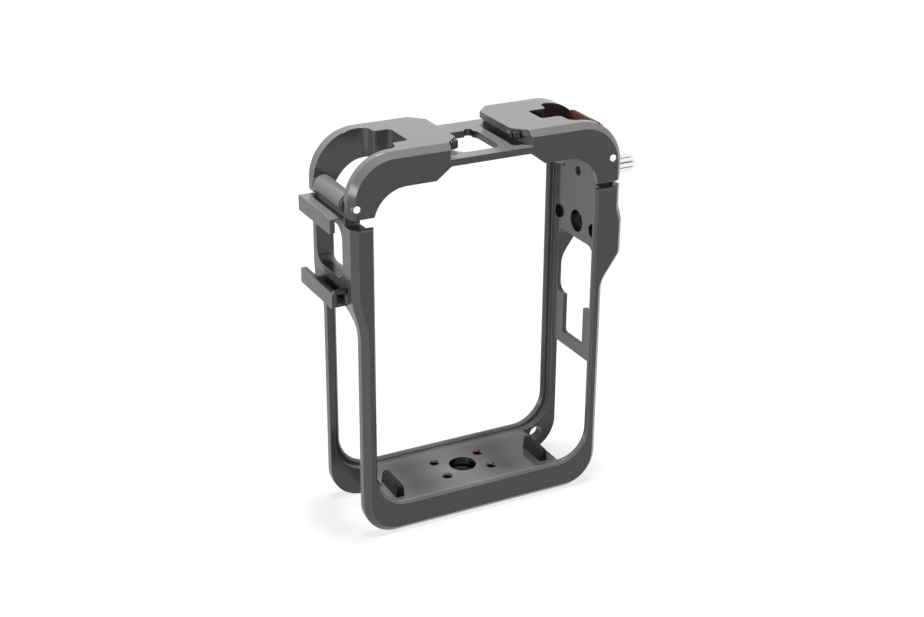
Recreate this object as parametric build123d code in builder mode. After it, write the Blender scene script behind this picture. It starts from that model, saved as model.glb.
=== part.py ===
"""Hinged aluminium cage for a hand-held camera.

Frame: +X to the right, +Y to the back, +Z up, millimetres.
Origin: centre of the cage's footprint, on the plane of its underside.
"""
from build123d import *
import math
import os

# ---- cage envelope ----------------------------------------------------------
DEPTH = 22.0                  # front face to rear face
LID_TOP_Z = 87.3
LEFT_ARM_FOOT_Z = LID_TOP_Z - 13.0    # ends of the lid's arms
RIGHT_ARM_FOOT_Z = LID_TOP_Z - 14.0
POST_TOP_Z = LEFT_ARM_FOOT_Z - 2.3
LOWER_X = 29.1                # outside of the lower posts
UPPER_LEFT_X = -31.05         # outside of the left post beside the side shoe
UPPER_RIGHT_X = 32.7          # outside of the right post below the lid
BOSS_X = 33.6                 # outside of the right post beside the threaded boss
EDGE_BEVEL = 1.3              # wide bevel on every outside edge
INNER_BEVEL = 0.5             # narrow bevel on the openings' edges
OUTER_CORNER_R = 7.8
POST_BEVEL = 0.4              # front and rear edges of the posts' tops
FULL_WIDTH_Z = POST_TOP_Z - 16.0      # both posts have reached their full width here
LEFT_SWELL = 7.2              # height over which the left post steps outwards
LEFT_SWELL_Z = (FULL_WIDTH_Z - LEFT_SWELL, FULL_WIDTH_Z)
LEFT_SWELL_R = 18.0
BOSS_SWELL = 6.4
BOSS_HEIGHT = 8.0
BOSS_END = 3.0                # height over which the boss steps back to the post
BOSS_Z = (FULL_WIDTH_Z - BOSS_SWELL, FULL_WIDTH_Z, FULL_WIDTH_Z + BOSS_HEIGHT,
          FULL_WIDTH_Z + BOSS_HEIGHT + BOSS_END)
BOSS_R = (6.0, 2.5, 2.0, 2.0)         # the right boss's four corners, from the bottom up

# ---- camera bay -------------------------------------------------------------
BAY_X = 27.6                  # half width between the walls
BAY_FLOOR_Z = 6.2
BAY_CORNER_R = 7.5
LIP_REACH = 1.4               # how far the retaining lips stand into the bay
LIP_HEIGHT = 0.9              # how far they stand above the floor
FRONT_LIP = 1.1               # lip thickness along Y
REAR_LIP = 1.4
RING_DEPTH = 2.9              # depth of the front and rear rings

# ---- side openings ----------------------------------------------------------
FLOOR_END_X = 20.4            # the floor plate's ends
LEFT_ARCH_R = 5.0
RIGHT_WALL_RECESS = 0.4
WALL_OUTER_X = 31.0           # right wall behind the latch
WINDOW_FRONT_Y = -5.6
WINDOW_TOP_Z = POST_TOP_Z - 0.8
WINDOW_FOOT_Z = WINDOW_TOP_Z - 11.8
LEFT_ARCH_Z = WINDOW_FOOT_Z - 5.8
WINDOW_R = 3.0
SIDE_THREAD_Z = POST_TOP_Z - 11.0
STEPPED_TOP_Z = SIDE_THREAD_Z - 4.0   # right window: wide above, narrow below
STEPPED_WIDE = 15.6           # heights of its two parts
STEPPED_NARROW = 9.3
STEPPED_Z = STEPPED_TOP_Z - STEPPED_WIDE
STEPPED_FOOT_Z = STEPPED_Z - STEPPED_NARROW
RIGHT_WALL_FOOT_Z = STEPPED_FOOT_Z - 2.9
STEPPED_WIDE_Y = (-7.4, 7.3)
STEPPED_NARROW_Y = (-4.5, 4.2)
STEPPED_R = 2.2
STEPPED_FOOT_R = 0.8
STRAP_HOLE = (24.1, 4.5, 1.75)        # centre X, Z, radius

# ---- lid --------------------------------------------------------------------
LID_LEFT_X = -31.65
LID_RIGHT_X = 32.7
LID_CORNER_R = 10.0
LID_LATCH_CORNER_R = 10.4
LID_ROOF_Z = LID_TOP_Z - 7.4          # underside of the two blocks
LID_ROOF_X = 26.4
LID_ROOF_R = 7.5
LID_RELIEF = 1.2              # the roof is cut deeper behind its front and rear lips
ARM_FOOT_R = 0.8
BRIDGE_UNDER_Z = LID_TOP_Z - 4.8
BRIDGE_THICKNESS = 1.5
BRIDGE_SLOPE = 3.4            # run of the sloping underside beside the bridge
BRIDGE_SLOPE_R = 0.8
ARM_FRONT_Y = -8.2            # inner face of the front arms
LEFT_ARM_REAR_Y = 7.2         # inner faces of the rear arms
RIGHT_ARM_REAR_Y = 5.8
LEFT_NARROW = (-15.6, -4.9, 3.8)      # end X and the two sides of the narrow end
RIGHT_NARROW = (16.2, -3.9, 2.2)
LEFT_STEP_X = -19.4
RIGHT_STEP_X = 20.8
BRIDGE_HOLE = (-5.4, 4.6, -8.0, 5.0)  # X and Y limits
BRIDGE_HOLE_R = 2.2
SLOT_R = 0.9                  # corners of the gaps between the arms
SLOT_CORNER_R = 2.0           # where a gap's wide part meets its step
BRIDGE_NOTCH = (3.3, 5.0, 0.9)        # centre X, Y and radius of a half-round notch

# ---- accessory shoes, one standard rail on the lid and one on the left side -
SHOE_CHANNEL = 18.6
SHOE_GAP = 12.9
SHOE_SLOT = 2.1               # height of the slot under the rails
SHOE_X = 0.5                  # centre of the top shoe
TOP_RAIL = 1.4
SIDE_SHOE_Z = POST_TOP_Z - 7.8
SIDE_SHOE_WALL = 0.6
SIDE_RAIL = 1.1
SIDE_SHOE_FRONT_Y = -7.0
SIDE_SHOE_REAR_Y = 9.4
SIDE_RAIL_R = 0.5             # corners of the side rails' ends
SIDE_SHOE_STEP = 1.7          # how far the wall behind the knuckle stands above the post
RAIL_Y = 6.7                  # half length of the top rails, then the splay's end
RAIL_END_Y = 9.6
TOP_CORNER_R = 0.6            # upright corners where the top shoe meets the cage's faces
TOP_STOPS = ((-7.1, -7.4), (8.1, -7.4))
STOP_R = 1.4
STOP_LENGTH = 1.75
STOP_COVER = 0.35             # rail left above a top stop
STOP_SETBACK = 0.2
STOP_SEAT = 1.0               # depth of the side stop's seat
SIDE_STOP_R = 0.6
SIDE_STOP_Y = SIDE_SHOE_FRONT_Y - SIDE_STOP_R
SIDE_STOP_Z = SIDE_SHOE_Z - 6.1

# ---- pins and washers -------------------------------------------------------
PIN_R = 1.0
PIN_BEVEL = 0.2
HINGE_X = -30.0
HINGE_Z = LEFT_ARM_FOOT_Z + 2.3
LATCH_X = 30.0
LATCH_Z = RIGHT_ARM_FOOT_Z + 5.3
RUNNING_FIT = 0.05            # radial, pin in a moving part
SIDE_PLAY = 0.1               # between a washer and its neighbours
WASHER = 1.0
WASHER_R = 2.1
KNUCKLE_R = 2.2

# ---- latch and thumb screw --------------------------------------------------
LATCH_INNER_X = 31.4
LATCH_OUTER_X = 32.9
LATCH_FOOT_Z = POST_TOP_Z - 2.4
LATCH_HUB_R = 2.6
LATCH_CREST_DEG = 53.0        # where the outer arc ends, at the edge of the finger well
LATCH_TAIL_X = 21.3
LATCH_TAIL_RISE = 5.4         # height of the tail's tip above the pin
LATCH_TAIL_THICKNESS = 1.4
LATCH_WELL = (3.2, 4.6)       # deepest point of the finger well: inboard of and above the pin
LATCH_RIBS = 4
RIB_PITCH_DEG = 4.2
RIB_R = 0.3
RIB_INSET = 0.5               # the ribs stop short of the latch's sides
LATCH_POCKET = 0.4            # room around the latch in the right post
LATCH_SWING_GAP = 0.3         # room around the tail as it swings in the lid
SCREW_Y = -0.2
SCREW_Z = POST_TOP_Z + 0.7
SCREW_R = 1.0
SCREW_NECK_R = 0.75
SCREW_CLEAR_R = 1.06
SCREW_TIP_X = 31.3
SCREW_TRAVEL = 2.2
SCREW_THREAD = 2.6            # length of the threaded tip
SCREW_HEAD_R = 1.95
SCREW_END_X = 41.9
SCREW_WASHER = 0.4
SCREW_WASHER_R = 1.75
KNURL_TEETH = 20
KNURL_R = 0.16

# ---- threaded holes ---------------------------------------------------------
TRIPOD_R = 2.55               # quarter-inch thread, inside the crests
TRIPOD_MOUTH_R = 3.15
INSERT_R = 4.0
INSERT_DEPTH = 4.4
INSERT_SETBACK = 0.1
SIDE_THREAD_Y = -0.2
LOCATING_PITCH = 14.3         # between the two locating holes
LOCATING_R = 1.5
SMALL_R = 0.95
SMALL_X = 5.6
SMALL_Y = 3.35
SMALL_SINK_R = 1.3

# ---- rubber pads ------------------------------------------------------------
PAD_LENGTH = 8.3
PAD_WIDTH = 2.2
PAD_HEIGHT = 2.8
PAD_FRONT_Y = -7.1
PAD_LEFT_X = -19.0
PAD_RIGHT_X = 17.4
PAD_RIBS = 3
PAD_LINE = 0.45
PAD_SEAT = 0.6                # depth of the groove that holds a pad

HALF = DEPTH / 2
RING_Y = HALF - RING_DEPTH
WALL_X = BAY_X + RIGHT_WALL_RECESS
BRIDGE_TOP_Z = BRIDGE_UNDER_Z + BRIDGE_THICKNESS
STOP_Z = (LID_TOP_Z - STOP_COVER - STOP_LENGTH, LID_TOP_Z - STOP_COVER)
SIDE_SHOE_FACE_X = UPPER_LEFT_X - SHOE_SLOT - SIDE_RAIL
SIDE_SHOE_HALF = SHOE_CHANNEL / 2 + SIDE_SHOE_WALL
HUB_INSET = WASHER + 2 * SIDE_PLAY
KNUCKLE_Y = (ARM_FRONT_Y + HUB_INSET, LEFT_ARM_REAR_Y - HUB_INSET)
LATCH_Y = (ARM_FRONT_Y + HUB_INSET, RIGHT_ARM_REAR_Y - HUB_INSET)
LATCH_SWING_R = math.hypot(LATCH_X - LATCH_TAIL_X, LATCH_TAIL_RISE)
HEAD_X = LATCH_OUTER_X + SCREW_TRAVEL + SCREW_WASHER + 2 * SIDE_PLAY


def save(part, name):
    """Label one finished piece and write it as one STEP file."""
    part.label = name
    export_step(part, f"parts/{name}.step")


def facing_front(y):
    """Drawing plane at depth y: its axes are X and Z, and it extrudes towards the front."""
    return Plane(origin=(0, y, 0), x_dir=(1, 0, 0), z_dir=(0, -1, 0))


def facing_right(x):
    """Drawing plane at x: its axes are Y and Z, and it extrudes to the right."""
    return Plane(origin=(x, 0, 0), x_dir=(0, 1, 0), z_dir=(1, 0, 0))


def rounded_outline(corners):
    """A face inside (u, v, radius) corners; the closing line's ends stay sharp."""
    with BuildSketch(mode=Mode.PRIVATE) as face:
        with BuildLine():
            Polyline(*[corner[:2] for corner in corners], close=True)
        make_face()
        for u, v, radius in corners:
            if radius:
                corner = face.vertices().sort_by_distance(Vector(u, v))[0]
                fillet(corner, radius)
    return face.sketch


def box_between(x, y, z, mode=Mode.ADD):
    """A box given by its two limits along each axis."""
    with BuildSketch(Plane.XY.offset(z[0]), mode=Mode.PRIVATE) as foot:
        with Locations(((x[0] + x[1]) / 2, (y[0] + y[1]) / 2)):
            Rectangle(x[1] - x[0], y[1] - y[0])
    extrude(foot.sketch, amount=z[1] - z[0], mode=mode)


def cage_outline():
    """The cage's outside: straight lower posts, and upper posts that step outwards."""
    return rounded_outline([
        (UPPER_LEFT_X, POST_TOP_Z, 0), (UPPER_LEFT_X, LEFT_SWELL_Z[1], LEFT_SWELL_R),
        (-LOWER_X, LEFT_SWELL_Z[0], LEFT_SWELL_R), (-LOWER_X, 0, OUTER_CORNER_R),
        (LOWER_X, 0, OUTER_CORNER_R), (LOWER_X, BOSS_Z[0], BOSS_R[0]), (BOSS_X, BOSS_Z[1], BOSS_R[1]),
        (BOSS_X, BOSS_Z[2], BOSS_R[2]), (UPPER_RIGHT_X, BOSS_Z[3], BOSS_R[3]),
        (UPPER_RIGHT_X, POST_TOP_Z, 0),
    ])


def bay_outline(reach, height, top):
    """The U-shaped opening of the bay, inside the walls or inside the lips."""
    half = BAY_X - reach
    floor = BAY_FLOOR_Z + height
    return rounded_outline([
        (-half, top, 0), (-half, floor, BAY_CORNER_R), (half, floor, BAY_CORNER_R), (half, top, 0),
    ])


def level_edges(part, y, keep):
    """Edges that lie in the plane of depth y and whose ends all pass the test."""
    flat = part.edges().filter_by(lambda e: e.bounding_box().size.Y < 1e-4)
    level = flat.filter_by(lambda e: abs(e.center().Y - y) < 1e-4)
    return level.filter_by(lambda e: all(keep(vertex) for vertex in e.vertices()))


def on_lip(point):
    """Whether a point lies on the inner outline of a retaining lip."""
    return abs(point.X) < BAY_X - LIP_REACH + 0.01 and point.Z > BAY_FLOOR_Z + LIP_HEIGHT - 0.01


def on_post_top(point):
    """Whether a point lies level with the tops of the posts."""
    return abs(point.Z - POST_TOP_Z) < 0.01


def on_side_rail_end(edge):
    """Whether an edge along X is a corner of a side rail's front or rear end."""
    middle = edge.center()
    height = abs(middle.Z - SIDE_SHOE_Z)
    at_end = min(abs(middle.Y - SIDE_SHOE_FRONT_Y), abs(middle.Y - SIDE_SHOE_REAR_Y)) < 0.01
    at_side = min(abs(height - SHOE_GAP / 2), abs(height - SIDE_SHOE_HALF)) < 0.01
    return middle.X < UPPER_LEFT_X and at_end and at_side


def below_top(point):
    """Whether a point lies on the outside rim, up to the tops of the posts."""
    return point.Z < POST_TOP_Z + 0.01


os.makedirs("parts", exist_ok=True)

# ---- main frame: rings, floor, walls, side shoe and hinge knuckle in one piece
with BuildPart() as main_frame:
    with BuildSketch(facing_front(HALF)):
        add(cage_outline())
    extrude(amount=DEPTH)
    for y in (-HALF, HALF):
        rim = level_edges(main_frame.part, y, below_top)
        chamfer(rim.sort_by(SortBy.LENGTH)[:-1], EDGE_BEVEL)

    # left wall carried up to the hinge, right wall up to the latch
    box_between((UPPER_LEFT_X, -BAY_X), KNUCKLE_Y, (POST_TOP_Z - 2, HINGE_Z))
    behind_y = (KNUCKLE_Y[1], SIDE_SHOE_REAR_Y)
    box_between((UPPER_LEFT_X, -BAY_X), behind_y, (POST_TOP_Z - 2, POST_TOP_Z + SIDE_SHOE_STEP))
    with BuildSketch(facing_front(KNUCKLE_Y[1])):
        with Locations((HINGE_X, HINGE_Z)):
            Circle(KNUCKLE_R)
    extrude(amount=KNUCKLE_Y[1] - KNUCKLE_Y[0])
    right_top_z = LATCH_Z - LATCH_HUB_R - LATCH_POCKET
    wall_y = (ARM_FRONT_Y + LATCH_POCKET, RIGHT_ARM_REAR_Y - LATCH_POCKET)
    box_between((WALL_X, WALL_OUTER_X), wall_y, (POST_TOP_Z - 2, right_top_z))

    # side shoe: a block with a T-shaped channel along Y
    shoe_z = (SIDE_SHOE_Z - SIDE_SHOE_HALF, SIDE_SHOE_Z + SIDE_SHOE_HALF)
    shoe_y = (SIDE_SHOE_FRONT_Y, SIDE_SHOE_REAR_Y)
    box_between((SIDE_SHOE_FACE_X, UPPER_LEFT_X), shoe_y, shoe_z)
    box_between((SIDE_SHOE_FACE_X, -BAY_X), shoe_y, (shoe_z[0], SIDE_SHOE_Z))
    for thick, height in ((SHOE_SLOT, SHOE_CHANNEL), (SHOE_SLOT + SIDE_RAIL, SHOE_GAP)):
        z = (SIDE_SHOE_Z - height / 2, SIDE_SHOE_Z + height / 2)
        box_between((UPPER_LEFT_X - thick, UPPER_LEFT_X), (-HALF, HALF), z, Mode.SUBTRACT)
    rails = main_frame.edges().filter_by(Axis.X).filter_by(on_side_rail_end)
    fillet(rails, SIDE_RAIL_R)

    # the bay: walls first, then the narrower opening between the lips
    with BuildSketch(facing_front(HALF - REAR_LIP)):
        add(bay_outline(0, 0, LID_TOP_Z))
    extrude(amount=DEPTH - REAR_LIP - FRONT_LIP, mode=Mode.SUBTRACT)
    with BuildSketch(facing_front(HALF)):
        add(bay_outline(LIP_REACH, LIP_HEIGHT, LID_TOP_Z))
    extrude(amount=DEPTH, mode=Mode.SUBTRACT)
    for y in (-HALF, HALF, HALF - REAR_LIP):
        chamfer(level_edges(main_frame.part, y, on_lip), INNER_BEVEL)
    for y in (-HALF, HALF):
        chamfer(level_edges(main_frame.part, y, on_post_top), POST_BEVEL)

    # left side: an arched opening below, and a window open to the rear ring above
    with BuildSketch(facing_right(-FLOOR_END_X)):
        add(rounded_outline([
            (-RING_Y, 0, 0), (RING_Y, 0, 0), (RING_Y, LEFT_ARCH_Z, LEFT_ARCH_R),
            (-RING_Y, LEFT_ARCH_Z, LEFT_ARCH_R),
        ]))
    extrude(amount=-LOWER_X, mode=Mode.SUBTRACT)
    with BuildSketch(facing_right(-BAY_X)):
        add(rounded_outline([
            (WINDOW_FRONT_Y, WINDOW_FOOT_Z, WINDOW_R), (RING_Y, WINDOW_FOOT_Z, WINDOW_R),
            (RING_Y, WINDOW_TOP_Z, WINDOW_R), (WINDOW_FRONT_Y, WINDOW_TOP_Z, WINDOW_R),
        ]))
    extrude(amount=UPPER_LEFT_X + BAY_X, mode=Mode.SUBTRACT)

    # right side: an opening below the wall, a stepped window in it, a shallow recess inside
    box_between((FLOOR_END_X, LOWER_X + 1), (-RING_Y, RING_Y), (0, RIGHT_WALL_FOOT_Z), Mode.SUBTRACT)
    box_between((BAY_X, WALL_X), (-RING_Y, RING_Y), (RIGHT_WALL_FOOT_Z, LID_TOP_Z), Mode.SUBTRACT)
    with BuildSketch(facing_right(BAY_X)):
        add(rounded_outline([
            (STEPPED_WIDE_Y[0], STEPPED_TOP_Z, STEPPED_R), (STEPPED_WIDE_Y[1], STEPPED_TOP_Z, STEPPED_R),
            (STEPPED_WIDE_Y[1], STEPPED_Z, STEPPED_R), (STEPPED_NARROW_Y[1], STEPPED_Z, 0),
            (STEPPED_NARROW_Y[1], STEPPED_FOOT_Z, STEPPED_FOOT_R),
            (STEPPED_NARROW_Y[0], STEPPED_FOOT_Z, STEPPED_FOOT_R),
            (STEPPED_NARROW_Y[0], STEPPED_Z, 0), (STEPPED_WIDE_Y[0], STEPPED_Z, STEPPED_R),
        ]))
    extrude(amount=BOSS_X - BAY_X, mode=Mode.SUBTRACT)

    # pocket in the right post that lets the latch lie against the wall
    pocket_z = (LATCH_FOOT_Z - LATCH_POCKET, POST_TOP_Z)
    pocket_y = (LATCH_Y[0] - LATCH_POCKET, LATCH_Y[1] + LATCH_POCKET)
    box_between((WALL_OUTER_X, BOSS_X), pocket_y, pocket_z, Mode.SUBTRACT)

    # threaded holes with their larger mouths, seats for the thread inserts from outside
    with Locations(Plane.XY.offset(BAY_FLOOR_Z)):
        Hole(TRIPOD_MOUTH_R, BAY_FLOOR_Z)
        with Locations(*[(x, y) for x in (-SMALL_X, SMALL_X) for y in (-SMALL_Y, SMALL_Y)]):
            CounterSinkHole(SMALL_R, SMALL_SINK_R, BAY_FLOOR_Z)
    with Locations(Plane(origin=(0, 0, 0), z_dir=(0, 0, -1))):
        Hole(INSERT_R, INSERT_DEPTH)
    with Locations(Plane(origin=(BOSS_X, SIDE_THREAD_Y, SIDE_THREAD_Z), z_dir=(1, 0, 0))):
        CounterSinkHole(TRIPOD_R, TRIPOD_MOUTH_R, BOSS_X - BAY_X, 90)
    for side in (-1, 1):
        y = SIDE_THREAD_Y + side * LOCATING_PITCH / 2
        with Locations(Plane(origin=(BOSS_X, y, SIDE_THREAD_Z), z_dir=(1, 0, 0))):
            Hole(LOCATING_R, BOSS_X - BAY_X)
    with Locations(Plane(origin=(BOSS_X, SCREW_Y, SCREW_Z), z_dir=(1, 0, 0))):
        Hole(SCREW_CLEAR_R, BOSS_X - BAY_X)

    # bore of the knuckle, strap hole in the rear ring
    with Locations(Plane(origin=(HINGE_X, -HALF, HINGE_Z), z_dir=(0, -1, 0))):
        Hole(PIN_R + RUNNING_FIT, DEPTH)
    x, z, radius = STRAP_HOLE
    with BuildSketch(facing_front(HALF)):
        with Locations((x, z)):
            Circle(radius)
    extrude(amount=RING_DEPTH, mode=Mode.SUBTRACT)

    # grooves that hold the two pads, and the stop pin's hole in the side shoe
    for x in (PAD_LEFT_X, PAD_RIGHT_X):
        span = (x - PAD_WIDTH / 2, x + PAD_WIDTH / 2)
        groove = (BAY_FLOOR_Z - PAD_SEAT, BAY_FLOOR_Z)
        box_between(span, (PAD_FRONT_Y, PAD_FRONT_Y + PAD_LENGTH), groove, Mode.SUBTRACT)
    with Locations(Plane(origin=(SIDE_SHOE_FACE_X, SIDE_STOP_Y, SIDE_STOP_Z), z_dir=(-1, 0, 0))):
        Hole(SIDE_STOP_R, SHOE_SLOT + SIDE_RAIL + STOP_SEAT)
save(main_frame.part, "main_frame")

# ---- lid: two blocks with arms, joined by a thin bridge ----------------------
with BuildPart() as lid:
    with BuildSketch(facing_front(HALF)):
        add(rounded_outline([
            (LID_LEFT_X, LEFT_ARM_FOOT_Z, 0), (LID_LEFT_X, LID_TOP_Z, LID_CORNER_R),
            (LID_RIGHT_X, LID_TOP_Z, LID_LATCH_CORNER_R), (LID_RIGHT_X, RIGHT_ARM_FOOT_Z, 0),
            (0, RIGHT_ARM_FOOT_Z, 0), (0, LEFT_ARM_FOOT_Z, 0),
        ]))
    extrude(amount=DEPTH)
    for y in (-HALF, HALF):
        rim = lid.faces().filter_by(Axis.Y).sort_by(Axis.Y)[0 if y < 0 else -1].edges()
        chamfer(rim.filter_by(lambda e: e.center().Z > LEFT_ARM_FOOT_Z + 0.1), EDGE_BEVEL)
    feet = lid.edges().filter_by(Axis.Y).group_by(Axis.Z)
    fillet([feet[0].sort_by(Axis.X)[-1], feet[1].sort_by(Axis.X)[0]], ARM_FOOT_R)

    # rounded roof over the bay, rising to the bridge, and deeper behind its lips
    bank = (SHOE_X - SHOE_CHANNEL / 2, SHOE_X + SHOE_CHANNEL / 2)
    for relief, rear_y, length in (
        (0, HALF, DEPTH), (LID_RELIEF, HALF - REAR_LIP, DEPTH - REAR_LIP - FRONT_LIP),
    ):
        half = LID_ROOF_X + relief
        roof_z = LID_ROOF_Z + relief
        run = BRIDGE_SLOPE * (BRIDGE_UNDER_Z - roof_z) / (BRIDGE_UNDER_Z - LID_ROOF_Z)
        with BuildSketch(facing_front(rear_y)):
            add(rounded_outline([
                (-half, POST_TOP_Z, 0), (-half, roof_z, LID_ROOF_R + relief),
                (bank[0] - run, roof_z, BRIDGE_SLOPE_R), (bank[0], BRIDGE_UNDER_Z, BRIDGE_SLOPE_R),
                (bank[1], BRIDGE_UNDER_Z, BRIDGE_SLOPE_R), (bank[1] + run, roof_z, BRIDGE_SLOPE_R),
                (half, roof_z, LID_ROOF_R + relief), (half, POST_TOP_Z, 0),
            ]))
        extrude(amount=length, mode=Mode.SUBTRACT)

    # top shoe: the channel, then the gap between its rails with splayed ends
    box_between(bank, (-HALF, HALF), (BRIDGE_TOP_Z, LID_TOP_Z - TOP_RAIL), Mode.SUBTRACT)
    gap = (SHOE_X - SHOE_GAP / 2, SHOE_X + SHOE_GAP / 2)
    with BuildSketch(Plane.XY.offset(LID_TOP_Z - TOP_RAIL)):
        add(rounded_outline([
            (bank[0], -HALF, 0), (bank[0], -RAIL_END_Y, 0), (gap[0], -RAIL_Y, 0), (gap[0], RAIL_Y, 0),
            (bank[0], RAIL_END_Y, 0), (bank[0], HALF, 0), (bank[1], HALF, 0), (bank[1], RAIL_END_Y, 0),
            (gap[1], RAIL_Y, 0), (gap[1], -RAIL_Y, 0), (bank[1], -RAIL_END_Y, 0), (bank[1], -HALF, 0),
        ]))
    extrude(amount=TOP_RAIL, mode=Mode.SUBTRACT)
    corners = lid.edges().filter_by(Axis.Z).filter_by(
        lambda e: abs(abs(e.center().Y) - HALF) < 0.01 and bank[0] - 0.01 < e.center().X < bank[1] + 0.01
    )
    fillet(corners, TOP_CORNER_R)

    # opening in the bridge
    left, right, front, rear = BRIDGE_HOLE
    with BuildSketch(Plane.XY.offset(BRIDGE_UNDER_Z - 1)):
        add(rounded_outline([
            (left, front, BRIDGE_HOLE_R), (right, front, BRIDGE_HOLE_R),
            (right, rear, BRIDGE_HOLE_R), (left, rear, 0),
        ]))
        with Locations(BRIDGE_NOTCH[:2]):
            Circle(BRIDGE_NOTCH[2])
    extrude(amount=BRIDGE_THICKNESS + 2, mode=Mode.SUBTRACT)

    # the gaps between the arms, each with a narrower inner end
    for outer_x, step_x, narrow, rear in (
        (LID_LEFT_X, LEFT_STEP_X, LEFT_NARROW, LEFT_ARM_REAR_Y),
        (LID_RIGHT_X, RIGHT_STEP_X, RIGHT_NARROW, RIGHT_ARM_REAR_Y),
    ):
        end_x, low_y, high_y = narrow
        with BuildSketch(Plane.XY.offset(POST_TOP_Z)):
            add(rounded_outline([
                (outer_x, ARM_FRONT_Y, 0), (step_x, ARM_FRONT_Y, SLOT_CORNER_R), (step_x, low_y, SLOT_R),
                (end_x, low_y, SLOT_R), (end_x, high_y, SLOT_R), (step_x, high_y, SLOT_R),
                (step_x, rear, SLOT_CORNER_R), (outer_x, rear, 0),
            ]))
        extrude(amount=LID_TOP_Z - POST_TOP_Z, mode=Mode.SUBTRACT)

    # round back of the latch's pocket, which clears the tail as it swings
    with BuildSketch(facing_front(RIGHT_ARM_REAR_Y)):
        with Locations((LATCH_X, LATCH_Z)):
            Circle(LATCH_SWING_R + LATCH_SWING_GAP)
    extrude(amount=RIGHT_ARM_REAR_Y - ARM_FRONT_Y, mode=Mode.SUBTRACT)

    # bores for the two pins, right through both arms, and holes for the stop pins
    for x, z in ((HINGE_X, HINGE_Z), (LATCH_X, LATCH_Z)):
        with Locations(Plane(origin=(x, -HALF, z), z_dir=(0, -1, 0))):
            Hole(PIN_R, DEPTH)
    with BuildSketch(Plane.XY.offset(STOP_Z[0])):
        with Locations(*TOP_STOPS):
            Circle(STOP_R)
    extrude(amount=STOP_LENGTH, mode=Mode.SUBTRACT)
save(lid.part, "lid")

# ---- pins pressed into the lid's arms, and the washers beside the two hubs ---
for x, z, label in ((HINGE_X, HINGE_Z, "hinge_pin"), (LATCH_X, LATCH_Z, "latch_pin")):
    with BuildPart() as pin:
        with BuildSketch(facing_front(HALF)):
            with Locations((x, z)):
                Circle(PIN_R)
        extrude(amount=DEPTH)
        chamfer(pin.edges().filter_by(GeomType.CIRCLE), PIN_BEVEL)
    save(pin.part, label)

for x, z, y, label in (
    (HINGE_X, HINGE_Z, ARM_FRONT_Y + SIDE_PLAY + WASHER, "hinge_washer_front"),
    (HINGE_X, HINGE_Z, LEFT_ARM_REAR_Y - SIDE_PLAY, "hinge_washer_rear"),
    (LATCH_X, LATCH_Z, ARM_FRONT_Y + SIDE_PLAY + WASHER, "latch_washer_front"),
    (LATCH_X, LATCH_Z, RIGHT_ARM_REAR_Y - SIDE_PLAY, "latch_washer_rear"),
):
    with BuildPart() as washer:
        with BuildSketch(facing_front(y)):
            with Locations((x, z)):
                Circle(WASHER_R)
                Circle(PIN_R + RUNNING_FIT, mode=Mode.SUBTRACT)
        extrude(amount=WASHER)
    save(washer.part, label)

# ---- latch: a hub with a hanging tongue, a ribbed back and a finger well ------
with BuildPart() as latch_lever:
    corner = (LID_RIGHT_X - LID_LATCH_CORNER_R, LID_TOP_Z - LID_LATCH_CORNER_R)
    back_r = LATCH_OUTER_X - corner[0]
    tip_z = LATCH_Z + LATCH_TAIL_RISE
    with BuildSketch(facing_front(LATCH_Y[1])):
        with BuildLine():
            back = CenterArc(corner, back_r, 0, LATCH_CREST_DEG)
            Polyline(
                back @ 0, (LATCH_OUTER_X, LATCH_FOOT_Z), (LATCH_INNER_X, LATCH_FOOT_Z),
                (LATCH_INNER_X, LATCH_Z - LATCH_HUB_R * 0.6),
                (LATCH_X - LATCH_HUB_R * 0.9, LATCH_Z),
                (LATCH_TAIL_X + LATCH_TAIL_THICKNESS, tip_z - 2 * LATCH_TAIL_THICKNESS),
                (LATCH_TAIL_X, tip_z), (LATCH_TAIL_X + LATCH_TAIL_THICKNESS / 2, tip_z),
                (LATCH_TAIL_X + LATCH_TAIL_THICKNESS, tip_z - LATCH_TAIL_THICKNESS),
                (LATCH_X - LATCH_WELL[0], LATCH_Z + LATCH_WELL[1]), back @ 1,
            )
        make_face()
        with Locations((LATCH_X, LATCH_Z)):
            Circle(LATCH_HUB_R)
            Circle(PIN_R + RUNNING_FIT, mode=Mode.SUBTRACT)
    extrude(amount=LATCH_Y[1] - LATCH_Y[0])

    # ribs along the back, below the edge of the well
    with BuildSketch(facing_front(LATCH_Y[1] - RIB_INSET)):
        first = LATCH_CREST_DEG - RIB_PITCH_DEG * (LATCH_RIBS - 0.4)
        with Locations(corner):
            with PolarLocations(back_r, LATCH_RIBS, first, RIB_PITCH_DEG * (LATCH_RIBS - 1),
                                endpoint=True):
                Circle(RIB_R)
    extrude(amount=LATCH_Y[1] - LATCH_Y[0] - 2 * RIB_INSET)

    # hole for the thumb screw
    with Locations(Plane(origin=(LATCH_OUTER_X, SCREW_Y, SCREW_Z), z_dir=(1, 0, 0))):
        Hole(SCREW_CLEAR_R, LATCH_OUTER_X - LATCH_INNER_X)
save(latch_lever.part, "latch_lever")

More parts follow.
